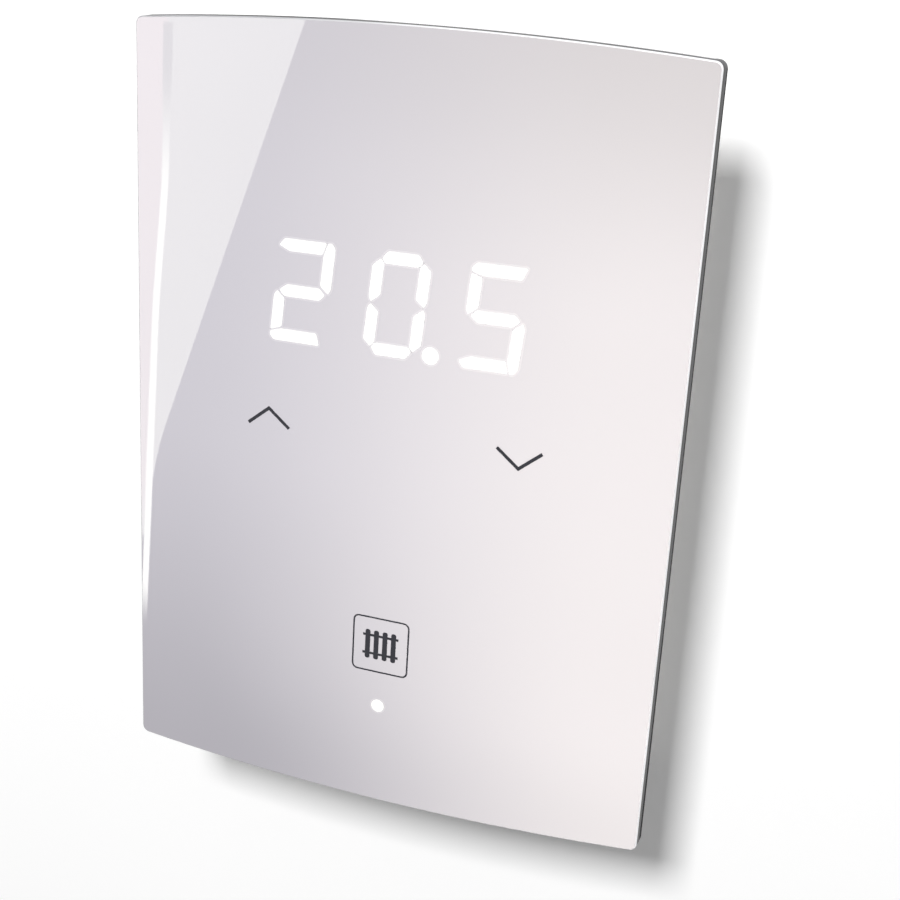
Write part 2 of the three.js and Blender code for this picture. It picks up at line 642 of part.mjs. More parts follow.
const coverScrewHead = 1.2;
const boardScrewHead = 1.1;
for (const [corner, sx, sz] of CORNERS) {
  const coverScrew = screw(2.1, coverScrewHead, 1, 8);
  const coverScrewDepth = DEPTH.partition - GAP - coverScrewHead;
  add(head, `cover_screw_${corner}`, coverScrew, STEEL, sx * PILLAR.x, coverScrewDepth, sz * PILLAR.z);
  const boardScrew = screw(2, boardScrewHead, 0.8, 3.6);
  const boardScrewDepth = DEPTH.board - GAP - boardScrewHead;
  add(head, `board_screw_${corner}`, boardScrew, STEEL, sx * BOARD_SCREW.x, boardScrewDepth, sz * BOARD_SCREW.z);
}

export default thermostat;
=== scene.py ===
"""Wall thermostat on a white wall: a printed lens with lit digits on a slim head, clipped onto a wall plate.

The frame is in metres: +Z up, +Y into the wall, and the lens faces -Y. Sizes below are in millimetres.
"""

import json
import math

import bmesh
import bpy
from mathutils import Matrix, Vector


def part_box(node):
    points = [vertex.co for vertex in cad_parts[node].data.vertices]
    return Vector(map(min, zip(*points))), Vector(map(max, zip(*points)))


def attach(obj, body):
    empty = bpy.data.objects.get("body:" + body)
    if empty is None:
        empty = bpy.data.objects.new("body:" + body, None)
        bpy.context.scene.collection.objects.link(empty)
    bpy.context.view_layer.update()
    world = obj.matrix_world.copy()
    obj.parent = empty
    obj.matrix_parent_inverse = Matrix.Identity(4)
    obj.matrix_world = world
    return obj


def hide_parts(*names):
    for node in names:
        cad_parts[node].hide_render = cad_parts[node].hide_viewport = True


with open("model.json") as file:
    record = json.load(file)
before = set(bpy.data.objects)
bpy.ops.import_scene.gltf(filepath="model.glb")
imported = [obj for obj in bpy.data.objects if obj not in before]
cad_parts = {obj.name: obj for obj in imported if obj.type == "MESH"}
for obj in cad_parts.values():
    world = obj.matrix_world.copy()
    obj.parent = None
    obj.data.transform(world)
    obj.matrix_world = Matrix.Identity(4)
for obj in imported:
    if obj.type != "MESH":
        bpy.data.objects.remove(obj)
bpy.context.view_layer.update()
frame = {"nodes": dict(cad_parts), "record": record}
nodes = frame["nodes"]
MM = 0.001

# ---------------------------------------------------------------- sizes

LENS_LOW, LENS_HIGH = [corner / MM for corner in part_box("front_lens")]
HALF_WIDTH = LENS_HIGH.x
LENS_DEPTH = LENS_HIGH.y - LENS_LOW.y
CROWN = 1.65  # rise of the top and bottom edges in the middle
CORNER_HALF_HEIGHT = LENS_HIGH.z - CROWN
CORNER_RADIUS = 1.2
BULGE = 0.8
CHAMFER = 0.2
TAPER = 0.1  # the lens is this much smaller all round at its front than at its back
SINK = 0.04  # the lens stops this short of its CAD solid, which leaves room for the print
BACK_EDGE = 0.12  # the small chamfer at the back of the lens
RIM_HEIGHT, RIM_STEP = 0.05, 0.02  # the fine rim between the lens's side and its front chamfer
PAINTED_HIGHLIGHT_FROM, PAINTED_HIGHLIGHT_FULL = -18, 4  # the bevel's painted highlight grows between these x
CREASE = math.radians(25)  # edges of the lens that turn more than this stay sharp

DIGIT_HALF_WIDTH = 4.4
DIGIT_HALF_HEIGHT = 7.55
DIGIT_BAR = 1.8
DIGIT_SLANT = 0.093
DIGIT_MIDDLE_Z = 20.75
DIGIT_PITCH = 14.55
BAR_ROUNDING = 0.32
POINT_CENTRE, POINT_RADIUS = (5.5, 14.2), 1.28
BAR_HALO, DOT_HALO = 0.28, 0.26  # how far the soft light reaches round a bar and round a dot

ARROW_X, ARROW_REACH, ARROW_RISE, STROKE = 19.5, 3.35, 2.7, 0.5
ARROW_UP_TIP, ARROW_DOWN_TIP = 2.6, -0.3
FACE_PRINT = (0.43, 0.413, 0.447)
FACE_LIGHT = 1.03  # what the lights alone make of the print
COAT_SHARE = 0.042  # how much of a reflection the lens's polished coat sends to the camera
KEY_CENTRE, KEY_SIZE, KEY_RADIUS, KEY_LINE = (0, -32.1), 9.15, 1.1, 0.25
SIGN_COLUMNS, COLUMN_HALF_WIDTH, COLUMN_HALF_HEIGHT = (-2.1, -0.7, 0.7, 2.1), 0.4, 2.4
SIGN_RAILS, RAIL_HALF_LENGTH, RAIL_HALF_WIDTH = (-1.5, 1.5), 2.9, 0.2
LED_CENTRE, LED_RADIUS = (0, -42.25), 1.04

# How far each layer of print stands off the lens.
HALO_LIFT, INK_LIFT, RAIL_LIFT, LIT_LIFT = 0.012, 0.02, 0.022, 0.03

CAMERA = {
    "azimuth": 18.7,
    "elevation": 18.5,
    "roll": 3.44,
    "distance": 211.8,
    "aim": (9.0, LENS_LOW.y + BULGE, 0.6),
    "lens": 59.1,
}

# ---------------------------------------------------------------- materials


def new_material(name):
    made = bpy.data.materials.new(name)
    made.use_nodes = True
    shader = made.node_tree.nodes["Principled BSDF"]
    return made, made.node_tree, shader


def link(tree, source, target):
    tree.links.new(source, target)


def noise(tree, scale, detail=3.0):
    """Noise in object space, so that it doesn't depend on a UV map."""
    coordinates = tree.nodes.new("ShaderNodeTexCoord")
    texture = tree.nodes.new("ShaderNodeTexNoise")
    texture.inputs["Scale"].default_value = scale
    texture.inputs["Detail"].default_value = detail
    link(tree, coordinates.outputs["Object"], texture.inputs["Vector"])
    return texture.outputs["Fac"]


def ramp(tree, source, stops):
    """A colour ramp; each stop is a position and a grey or a colour."""
    node = tree.nodes.new("ShaderNodeValToRGB")
    elements = node.color_ramp.elements
    while len(elements) < len(stops):
        elements.new(0.5)
    for element, (position, value) in zip(elements, stops):
        element.position = position
        element.color = (*value, 1) if isinstance(value, tuple) else (value, value, value, 1)
    link(tree, source, node.inputs["Fac"])
    return node.outputs["Color"]


def bump(tree, shader, height, distance):
    node = tree.nodes.new("ShaderNodeBump")
    node.inputs["Distance"].default_value = distance
    node.inputs["Strength"].default_value = 1.0
    link(tree, height, node.inputs["Height"])
    link(tree, node.outputs["Normal"], shader.inputs["Normal"])


def shade(colour, factor):
    return tuple(channel * factor for channel in colour)


def moulded(name, colour, roughness=0.5, grain=9000, depth=0.00002):
    """Moulded plastic: fine grain, uneven gloss and slightly uneven colour."""
    made, tree, shader = new_material(name)
    tone = ramp(tree, noise(tree, 60), [(0.3, shade(colour, 0.94)), (0.7, colour)])
    link(tree, tone, shader.inputs["Base Color"])
    gloss = ramp(tree, noise(tree, 400), [(0.3, roughness * 0.85), (0.7, min(roughness * 1.15, 1))])
    link(tree, gloss, shader.inputs["Roughness"])
    bump(tree, shader, noise(tree, grain, 2), depth)
    return made


def brushed(name, colour, roughness):
    """Drawn or plated metal with fine lines along one direction."""
    made, tree, shader = new_material(name)
    shader.inputs["Metallic"].default_value = 1.0
    coordinates = tree.nodes.new("ShaderNodeTexCoord")
    mapping = tree.nodes.new("ShaderNodeMapping")
    mapping.inputs["Scale"].default_value = (4000, 4000, 150)
    lines = tree.nodes.new("ShaderNodeTexNoise")
    lines.inputs["Scale"].default_value = 1.0
    link(tree, coordinates.outputs["Object"], mapping.inputs["Vector"])
    link(tree, mapping.outputs["Vector"], lines.inputs["Vector"])
    tone = ramp(tree, lines.outputs["Fac"], [(0.3, shade(colour, 0.85)), (0.7, colour)])
    link(tree, tone, shader.inputs["Base Color"])
    gloss = ramp(tree, lines.outputs["Fac"], [(0.3, roughness * 0.7), (0.7, roughness * 1.3)])
    link(tree, gloss, shader.inputs["Roughness"])
    bump(tree, shader, lines.outputs["Fac"], 0.000004)
    return made


def coated_print(name, glow=0.0):
    """The lens face: a pale print with a faint pearl tone, under a clear polished coat.

    glow is light that comes through from behind.
    """
    made, tree, shader = new_material(name)
    pearl = [(0.35, shade(FACE_PRINT, 0.985)), (0.65, shade(FACE_PRINT, 1.01))]
    tone = ramp(tree, noise(tree, 25, 2), pearl)
    link(tree, tone, shader.inputs["Base Color"])
    flake = ramp(tree, noise(tree, 12000, 1), [(0.3, 0.42), (0.7, 0.52)])
    link(tree, flake, shader.inputs["Roughness"])
    shader.inputs["Specular IOR Level"].default_value = 0.0
    shader.inputs["Coat Weight"].default_value = 1.0
    shader.inputs["Coat Roughness"].default_value = 0.012
    shader.inputs["Coat IOR"].default_value = 1.5
    shader.inputs["Emission Color"].default_value = (1.0, 1.0, 0.94, 1)
    shader.inputs["Emission Strength"].default_value = glow
    return made


def clear_edge(name, colour, roughness, painted_glow_strength=0.0):
    """The polished clear edge of the lens.

    The strength given last paints a highlight on the right half: a glow that grows along x, with no lamp behind it.
    """
    made, tree, shader = new_material(name)
    streaks = ramp(tree, noise(tree, 90, 2), [(0.3, shade(colour, 0.6)), (0.7, shade(colour, 1.2))])
    link(tree, streaks, shader.inputs["Base Color"])
    shader.inputs["Roughness"].default_value = roughness
    shader.inputs["Coat Weight"].default_value = 1.0
    shader.inputs["Coat Roughness"].default_value = 0.02
    # painted highlight: an emission that rises along x, so the bevel's right half looks lit
    if painted_glow_strength:
        coordinates = tree.nodes.new("ShaderNodeTexCoord")
        axes = tree.nodes.new("ShaderNodeSeparateXYZ")
        link(tree, coordinates.outputs["Object"], axes.inputs["Vector"])
        across = tree.nodes.new("ShaderNodeMapRange")
        across.inputs["From Min"].default_value = PAINTED_HIGHLIGHT_FROM * MM
        across.inputs["From Max"].default_value = PAINTED_HIGHLIGHT_FULL * MM
        link(tree, axes.outputs["X"], across.inputs["Value"])
        painted_highlight_mask = ramp(tree, across.outputs["Result"], [(0.0, 0.0), (1.0, 1.0)])
        link(tree, painted_highlight_mask, shader.inputs["Emission Color"])
        shader.inputs["Emission Strength"].default_value = painted_glow_strength
    return made


def lit(name, colour, strength):
    """A milky window lit from behind, a touch uneven as a diffuser is."""
    made, tree, shader = new_material(name)
    shader.inputs["Base Color"].default_value = (0.5, 0.5, 0.49, 1)
    shader.inputs["Roughness"].default_value = 0.6
    shader.inputs["Specular IOR Level"].default_value = 0.0
    shader.inputs["Emission Strength"].default_value = strength
    glow = ramp(tree, noise(tree, 500, 1), [(0.3, shade(colour, 0.97)), (0.7, colour)])
    link(tree, glow, shader.inputs["Emission Color"])
    return made


def board_material():
    """Solder mask over copper: bundles of parallel tracks show as paler, raised lines, with tinned vias."""
    made, tree, shader = new_material("solder_mask")
    coordinates = tree.nodes.new("ShaderNodeTexCoord")
    tracks = None
    for direction, offset in (("X", 0.0), ("Z", 3.7)):
        wave = tree.nodes.new("ShaderNodeTexWave")
        wave.bands_direction = direction
        wave.inputs["Scale"].default_value = 250
        link(tree, coordinates.outputs["Object"], wave.inputs["Vector"])
        patches = noise(tree, 110 + 30 * offset, 0)
        bundle = ramp(tree, patches, [(0.0, 0.0), (0.56, 0.0), (0.565, 1.0)])
        lines = ramp(tree, wave.outputs["Fac"], [(0.0, 0.0), (0.55, 0.0), (0.65, 1.0)])
        masked = tree.nodes.new("ShaderNodeMath")
        masked.operation = "MULTIPLY"
        link(tree, bundle, masked.inputs[0])
        link(tree, lines, masked.inputs[1])
        if tracks is None:
            tracks = masked.outputs["Value"]
        else:
            joined = tree.nodes.new("ShaderNodeMath")
            joined.operation = "MAXIMUM"
            link(tree, tracks, joined.inputs[0])
            link(tree, masked.outputs["Value"], joined.inputs[1])
            tracks = joined.outputs["Value"]
    tone = ramp(tree, tracks, [(0.0, (0.012, 0.11, 0.05)), (1.0, (0.035, 0.22, 0.1))])
    cells = tree.nodes.new("ShaderNodeTexVoronoi")
    cells.inputs["Scale"].default_value = 230
    link(tree, coordinates.outputs["Object"], cells.inputs["Vector"])
    vias = ramp(tree, cells.outputs["Distance"], [(0.0, 1.0), (0.1, 1.0), (0.12, 0.0)])
    mixed = tree.nodes.new("ShaderNodeMixRGB")
    mixed.inputs["Color2"].default_value = (0.6, 0.58, 0.52, 1)
    link(tree, vias, mixed.inputs["Fac"])
    link(tree, tone, mixed.inputs["Color1"])
    link(tree, mixed.outputs["Color"], shader.inputs["Base Color"])
    shader.inputs["Roughness"].default_value = 0.3
    bump(tree, shader, tracks, 0.00003)
    return made


def battery_material():
    """A printed sleeve: dark blue with a paler band towards one end."""
    made, tree, shader = new_material("battery_sleeve")
    coordinates = tree.nodes.new("ShaderNodeTexCoord")
    axes = tree.nodes.new("ShaderNodeSeparateXYZ")
    link(tree, coordinates.outputs["Generated"], axes.inputs["Vector"])
    end_cap, dark_blue = (0.45, 0.46, 0.48), (0.03, 0.06, 0.14)
    silver, foil = (0.5, 0.52, 0.55), (0.5, 0.5, 0.5)
    bands = [(0.0, end_cap), (0.04, dark_blue), (0.7, silver), (0.96, foil)]
    tone = ramp(tree, axes.outputs["X"], bands)
    tone.node.color_ramp.interpolation = "CONSTANT"
    link(tree, tone, shader.inputs["Base Color"])
    gloss = ramp(tree, noise(tree, 300), [(0.3, 0.22), (0.7, 0.32)])
    link(tree, gloss, shader.inputs["Roughness"])
    return made


# The look of each CAD node, by its material slot.
NODE_LOOKS = {
    "white_plastic": moulded("white_shell", (0.8, 0.8, 0.79), 0.5),
    "milky_film": moulded("milky_film", (0.74, 0.73, 0.75), 0.35, grain=3000),
    "black_tape": moulded("foam_tape", (0.02, 0.02, 0.02), 0.9, grain=2500, depth=0.00006),
    "grey_plastic": moulded("grey_shell", (0.42, 0.43, 0.45), 0.55),
    "board_green": board_material(),
    "lit_diffuser": lit("diffuser", (1.0, 1.0, 0.97), 0.6),
    "steel": brushed("zinc_plate", (0.62, 0.63, 0.65), 0.32),
    "nickel": brushed("nickel_plate", (0.72, 0.7, 0.65), 0.25),
    "black_plastic": moulded("black_shell", (0.02, 0.02, 0.022), 0.45),
    "battery_jacket": battery_material(),
    "terminal_green": moulded("terminal_shell", (0.02, 0.24, 0.11), 0.35),
}

# ---------------------------------------------------------------- mesh helpers


def add_mesh(name, body, materials, vertices, faces, slots=None, smooth=True):
    """A mesh from points in millimetres. slots gives each face's place in materials."""
    mesh = bpy.data.meshes.new(name)
    mesh.from_pydata([Vector(v) * MM for v in vertices], [], faces)
    for material in materials:
        mesh.materials.append(material)
    for index, polygon in enumerate(mesh.polygons):
        polygon.use_smooth = smooth
        polygon.material_index = slots[index] if slots else 0
    mesh.update()
    made = bpy.data.objects.new(name, mesh)
    bpy.context.scene.collection.objects.link(made)
    if body:
        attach(made, body)
    return made


def arc(centre, radius, start, end, steps):
    """Points along an arc, both ends included; angles in radians."""
    turns = [start + (end - start) * i / steps for i in range(steps + 1)]
    return [(centre[0] + radius * math.cos(t), centre[1] + radius * math.sin(t)) for t in turns]


def rounded(corners, radius, steps=4):
    """A polygon with each corner rounded, by a curve that starts and ends radius along its sides."""
    points = []
    for i, corner in enumerate(corners):
        corner = Vector(corner)
        before, after = Vector(corners[i - 1]), Vector(corners[(i + 1) % len(corners)])
        reach = min(radius, (before - corner).length / 2.1, (after - corner).length / 2.1)
        start = corner + (before - corner).normalized() * reach
        end = corner + (after - corner).normalized() * reach
        for k in range(steps + 1):
            t = k / steps
            points.append(tuple(start * (1 - t) ** 2 + corner * 2 * t * (1 - t) + end * t**2))
    return points


# ---------------------------------------------------------------- the lens

EDGE_RADIUS = HALF_WIDTH**2 / (2 * CROWN) + CROWN / 2
EDGE_CENTRE_Z = CORNER_HALF_HEIGHT + CROWN - EDGE_RADIUS
FRONT_RADIUS = HALF_WIDTH**2 / (2 * BULGE) + BULGE / 2


def front_y(x):
    """The y of the lens's front at x: part of a wide upright cylinder."""
    return LENS_LOW.y + SINK + FRONT_RADIUS - math.sqrt(FRONT_RADIUS**2 - x**2)


def top_edge(inset):
    """The lens's top edge and its two corners from left to right, moved in by inset."""
    corner_x = HALF_WIDTH - CORNER_RADIUS
    corner_z = EDGE_CENTRE_Z + math.sqrt((EDGE_RADIUS - CORNER_RADIUS) ** 2 - corner_x**2)
    turn = math.atan2(corner_z - EDGE_CENTRE_Z, corner_x)
    small = CORNER_RADIUS - inset
    left = arc((-corner_x, corner_z), small, math.pi, math.pi - turn, 8)
    middle = arc((0, EDGE_CENTRE_Z), EDGE_RADIUS - inset, math.pi - turn, turn, 60)
    right = arc((corner_x, corner_z), small, turn, 0, 8)
    return left + middle[1:-1] + right


def build_lens():
    """Rings from back to front round the edge, closed by strips of quads at both ends."""
    back = LENS_HIGH.y
    rings = [
        (BACK_EDGE, lambda x: back),
        (0, lambda x: back - BACK_EDGE),
        (TAPER, lambda x: front_y(x) + CHAMFER + RIM_HEIGHT),
        (TAPER + RIM_STEP, lambda x: front_y(x) + CHAMFER),
        (TAPER + CHAMFER, front_y),
    ]
    face, side, bevel = 0, 1, 2
    ring_slots = [side, side, bevel, bevel]
    vertices, faces, slots = [], [], []
    for inset, depth in rings:
        top = top_edge(inset)
        loop = top + [(x, -z) for x, z in reversed(top)]
        vertices += [(x, depth(x), z) for x, z in loop]
    count = len(vertices) // len(rings)
    for ring, ring_slot in enumerate(ring_slots):
        for i in range(count):
            a, b = ring * count + i, ring * count + (i + 1) % count
            faces.append((a, a + count, b + count, b))
            slots.append(ring_slot)
    for first, flip, slot in ((0, True, side), ((len(rings) - 1) * count, False, face)):
        for i in range(count // 2 - 1):
            strip = (first + i, first + count - 1 - i, first + count - 2 - i, first + i + 1)
            faces.append(strip[::-1] if flip else strip)
            slots.append(slot)
    looks = [
        coated_print("lens_print"),
        clear_edge("lens_side", (0.10, 0.10, 0.11), 0.15),
        # the bevel's last value is the strength of its painted highlight on the right half
        clear_edge("lens_bevel", (0.5, 0.5, 0.52), 0.1, 0.6),
    ]
    lens = add_mesh("lens", "head", looks, vertices, faces, slots)
    sharp = bmesh.new()
    sharp.from_mesh(lens.data)
    bmesh.ops.recalc_face_normals(sharp, faces=sharp.faces)
    for edge in sharp.edges:
        edge.smooth = len(edge.link_faces) == 2 and edge.calc_face_angle() < CREASE
    sharp.to_mesh(lens.data)
    sharp.free()
    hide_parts("front_lens")


build_lens()

# ---------------------------------------------------------------- print and lit windows


def inlay(name, outlines, look, lift=INK_LIFT):
    """Shapes that follow the lens's front, each given as an outline in x and z."""
    vertices, faces = [], []
    for outline in outlines:
        faces.append(tuple(range(len(vertices), len(vertices) + len(outline))))
        vertices += [(x, front_y(x) - lift, z) for x, z in outline]
    made = add_mesh(name, "head", [look], vertices, faces)
    for polygon in made.data.polygons:
        if polygon.normal.y > 0:
            polygon.flip()


def strip_outline(points, width):
    """The outline of a line of even width with mitred bends."""
    points = [Vector(p) for p in points]
    sides = ([], [])
    for i, point in enumerate(points):
        before = (point - points[i - 1]).normalized() if i else None
        after = (points[i + 1] - point).normalized() if i + 1 < len(points) else None
        along = ((before or after) + (after or before)).normalized()
        across = Vector((-along.y, along.x))
        reach = width / 2 / abs(across.dot(Vector((-(after or before).y, (after or before).x))))
        sides[0].append(tuple(point + across * reach))
        sides[1].append(tuple(point - across * reach))
    return sides[0] + sides[1][::-1]


def mirrored(outline, across=1, up=1):
    return [(x * across, z * up) for x, z in outline]


def digit_outlines():
    """The lit bars of a 2, a 0 and a 5 about their middles, upright. A 5 is a 2 turned upside down."""
    w, h, inner = DIGIT_HALF_WIDTH, DIGIT_HALF_HEIGHT, DIGIT_HALF_HEIGHT - DIGIT_BAR
    side = w - DIGIT_BAR + 0.07
    waist = 4.02
    half = DIGIT_BAR / 2
    middle_bar = [(-3.65, 0), (-2.5, half), (2.6, half), (3.6, 0), (2.8, -half), (-2.8, -half)]
    two = [
        [(-w, h - 1.05), (-3.6, h), (3.02, h), (2.5, inner), (-2.7, inner)],
        [(3.2, h), (3.85, h), (w, h - 0.75), (w, 0.9), (waist, 0.15), (side, 1.25), (side, inner)],
        middle_bar,
        [(-waist, -0.12), (-side, -1.2), (-side, 0.3 - inner), (-w, -6.05), (-w, -0.85)],
        [(-w, -6.25), (-2.72, -inner), (2.93, -inner), (3.55, -h), (-3.7, -h), (-w, 0.65 - h)],
    ]
    top = [(-2.3, h), (2.3, h), (3.1, 6.48), (2.55, inner), (-2.55, inner), (-3.1, 6.48)]
    upright = [(3.25, 6.42), (w, 5.4), (w, 0.85), (waist, 0.1), (side, 1.2), (side, inner)]
    zero = [top, mirrored(top, up=-1)]
    zero += [mirrored(upright, across, up) for across in (-1, 1) for up in (-1, 1)]
    five = [mirrored(bar, up=-1) for bar in two]
    return [(-DIGIT_PITCH, two), (0.1, zero), (DIGIT_PITCH + 0.1, five)]


def grown(outline, margin):
    """An outline moved out by margin from its own middle."""
    made = []
    for i, point in enumerate(outline):
        before, after = Vector(outline[i - 1]), Vector(outline[(i + 1) % len(outline)])
        along = after - before
        if along.length < 1e-6:
            continue
        across = Vector((along.y, -along.x)).normalized()
        made.append(tuple(Vector(point) + across * margin))
    return made


def anticlockwise(outline):
    area = sum(a[0] * b[1] - b[0] * a[1] for a, b in zip(outline, outline[1:] + outline[:1]))
    return outline if area > 0 else outline[::-1]


LIT = lit("lit_window", (1.0, 1.0, 0.965), 0.56)
HALO = coated_print("window_glow", 0.07)
INK = moulded("dark_ink", (0.05, 0.05, 0.058), 0.7)
INK.node_tree.nodes["Principled BSDF"].inputs["Specular IOR Level"].default_value = 0.0

for digit_name, (place, bars) in zip(("tens", "units", "tenths"), digit_outlines()):
    placed = []
    for bar in bars:
        bar = rounded(anticlockwise(bar), BAR_ROUNDING)
        placed.append([(place + u + DIGIT_SLANT * v, DIGIT_MIDDLE_Z + v) for u, v in bar])
    inlay(f"digit_{digit_name}", placed, LIT, LIT_LIFT)
    halo = [grown(bar, BAR_HALO) for bar in placed]
    inlay(f"digit_{digit_name}_glow", halo, HALO, HALO_LIFT)


def disc(centre, radius):
    return arc(centre, radius, 0, 2 * math.pi, 40)[:-1]


for dot_name, centre, radius in (
    ("decimal_point", POINT_CENTRE, POINT_RADIUS),
    ("indicator", LED_CENTRE, LED_RADIUS),
):
    inlay(dot_name, [disc(centre, radius)], LIT, LIT_LIFT)
    inlay(f"{dot_name}_glow", [disc(centre, radius + DOT_HALO)], HALO, HALO_LIFT)

for arrow_name, x, tip, rise in (
    ("arrow_up", -ARROW_X, ARROW_UP_TIP, ARROW_RISE),
    ("arrow_down", ARROW_X, ARROW_DOWN_TIP, -ARROW_RISE),
):
    line = [(x - ARROW_REACH, tip - rise), (x, tip), (x + ARROW_REACH, tip - rise)]
    inlay(arrow_name, [strip_outline(line, STROKE)], INK)


def ring(outline, inside):
    """A closed line between two outlines with as many points, as quads."""
    count = len(outline)
    return [
        [outline[i], outline[(i + 1) % count], inside[(i + 1) % count], inside[i]] for i in range(count)
    ]


def box_outline(x, z, half_width, half_height):
    return [
        (x - half_width, z - half_height),
        (x + half_width, z - half_height),
        (x + half_width, z + half_height),
        (x - half_width, z + half_height),
    ]


def rounded_square(size, radius):
    return rounded(box_outline(*KEY_CENTRE, size / 2, size / 2), radius, 8)


key_outline = rounded_square(KEY_SIZE, KEY_RADIUS)
key_inside = rounded_square(KEY_SIZE - 2 * KEY_LINE, KEY_RADIUS - KEY_LINE)
inlay("menu_key_frame", ring(key_outline, key_inside), INK)

# The key's own sign is a plain radiator: four columns on two rails.
columns = [
    rounded(
        box_outline(KEY_CENTRE[0] + x, KEY_CENTRE[1], COLUMN_HALF_WIDTH, COLUMN_HALF_HEIGHT), COLUMN_HALF_WIDTH, 5
    )
    for x in SIGN_COLUMNS
]
rails = [
    box_outline(KEY_CENTRE[0], KEY_CENTRE[1] + z, RAIL_HALF_LENGTH, RAIL_HALF_WIDTH) for z in SIGN_RAILS
]
inlay("menu_key_sign", columns, INK)
inlay("menu_key_rails", rails, INK, RAIL_LIFT)

# ---------------------------------------------------------------- carried-over nodes

SUBPART_SLOTS = {part["node"]: part["material_slot"] for part in frame["record"]["subparts"]}
# The edge radius of the moulded shells, rounded by a modifier.
SOFT_EDGE = {
    "wall_plate": 0.25,
    "rear_cover": 0.3,
    "battery_lid": 0.2,
    "front_frame": 0.2,
    "terminal_block": 0.15,
}

for node_name, node in nodes.items():
    if node_name == "front_lens":
        continue
    node.data.materials.clear()
    node.data.materials.append(NODE_LOOKS[SUBPART_SLOTS[node_name]])
    if node_name in SOFT_EDGE:
        bevel = node.modifiers.new("soft_edge", "BEVEL")
        bevel.width = SOFT_EDGE[node_name] * MM
        bevel.segments = 2
        bevel.limit_method = "ANGLE"
        bevel.angle_limit = math.radians(40)
        bevel.use_clamp_overlap = True

# ---------------------------------------------------------------- camera


def camera_back():
    """The direction from the lens to the camera."""
    a, e = math.radians(CAMERA["azimuth"]), math.radians(CAMERA["elevation"])
    return Vector((math.sin(a) * math.cos(e), -math.cos(a) * math.cos(e), math.sin(e)))


camera = bpy.data.objects.new("camera", bpy.data.cameras.new("camera"))
bpy.context.scene.collection.objects.link(camera)
camera.data.sensor_width = 36
camera.data.lens = CAMERA["lens"]
camera.data.clip_start = 0.01
camera.rotation_mode = "QUATERNION"
camera.location = (Vector(CAMERA["aim"]) + camera_back() * CAMERA["distance"]) * MM
turned = (-camera_back()).to_track_quat("-Z", "Y").to_matrix()
camera.rotation_quaternion = (turned @ Matrix.Rotation(math.radians(CAMERA["roll"]), 3, "Z")).to_quaternion()
bpy.context.scene.camera = camera

# ---------------------------------------------------------------- wall, floor and light

bpy.context.scene.view_settings.view_transform = "Standard"


STAGE, STAGE_FLOOR = 1500, -150  # half the studio's width, which is its height too, and its floor's level
WALL_GAP = 0.05


def one_sided(name, colour):
    """A surface that shows only its front, so that the object can be seen from behind it."""
    made, tree, shader = new_material(name)
    tone = ramp(tree, noise(tree, 8, 2), [(0.3, shade(colour, 0.995)), (0.7, colour)])
    link(tree, tone, shader.inputs["Base Color"])
    shader.inputs["Roughness"].default_value = 0.9
    shader.inputs["Specular IOR Level"].default_value = 0.0
    geometry = tree.nodes.new("ShaderNodeNewGeometry")
    clear = tree.nodes.new("ShaderNodeBsdfTransparent")
    mix = tree.nodes.new("ShaderNodeMixShader")
    link(tree, geometry.outputs["Backfacing"], mix.inputs["Fac"])
    link(tree, shader.outputs["BSDF"], mix.inputs[1])
    link(tree, clear.outputs["BSDF"], mix.inputs[2])
    link(tree, mix.outputs["Shader"], tree.nodes["Material Output"].inputs["Surface"])
    return made


def stage_plane(name, corners, look):
    made = add_mesh(name, None, [look], corners, [(0, 1, 2, 3)], smooth=False)
    return made


wall = stage_plane(
    "wall",
    [
        (-STAGE, WALL_GAP, STAGE_FLOOR),
        (STAGE, WALL_GAP, STAGE_FLOOR),
        (STAGE, WALL_GAP, STAGE),
        (-STAGE, WALL_GAP, STAGE),
    ],
    one_sided("wall_paint", (0.97, 0.97, 0.97)),
)
floor = stage_plane(
    "floor",
    [
        (-STAGE, -STAGE, STAGE_FLOOR),
        (STAGE, -STAGE, STAGE_FLOOR),
        (STAGE, STAGE, STAGE_FLOOR),
        (-STAGE, STAGE, STAGE_FLOOR),
    ],
    one_sided("floor_paint", (0.86, 0.86, 0.86)),
)


def glowing(look, strength):
    """Adds an even glow, which keeps a stage surface pale where little light reaches it."""
    shader = look.node_tree.nodes["Principled BSDF"]
    shader.inputs["Emission Color"].default_value = (1, 1, 1, 1)
    shader.inputs["Emission Strength"].default_value = strength
    return look


# The backdrops close the studio behind the object in the other views.
PAPER = glowing(one_sided("backdrop_paper", (0.9, 0.9, 0.9)), 0.5)
for side, (start, end) in {
    "left": ((-STAGE, STAGE), (-STAGE, -STAGE)),
    "front": ((-STAGE, -STAGE), (STAGE, -STAGE)),
    "right": ((STAGE, -STAGE), (STAGE, STAGE)),
}.items():
    corners = [(*start, STAGE_FLOOR), (*start, STAGE), (*end, STAGE), (*end, STAGE_FLOOR)]
    backdrop = stage_plane(f"backdrop_{side}", corners, PAPER)
    for ray in ("diffuse", "glossy", "shadow", "transmission"):
        setattr(backdrop, f"visible_{ray}", False)

glowing(floor.data.materials[0], 0.45)
for surface in (wall, floor):
    surface.visible_diffuse = False
    surface.visible_glossy = False
wall.visible_shadow = False


def area_light(name, place, width, height, power):
    """A soft lamp aimed at the object. Reflections leave it out: the cards below stand for what the lens mirrors."""
    data = bpy.data.lights.new(name, "AREA")
    data.shape = "RECTANGLE"
    data.size, data.size_y = width * MM, height * MM
    data.energy = power
    made = bpy.data.objects.new(name, data)
    bpy.context.scene.collection.objects.link(made)
    made.location = Vector(place) * MM
    made.rotation_mode = "QUATERNION"
    made.rotation_quaternion = (-Vector(place)).to_track_quat("-Z", "Y")
    made.visible_glossy = False


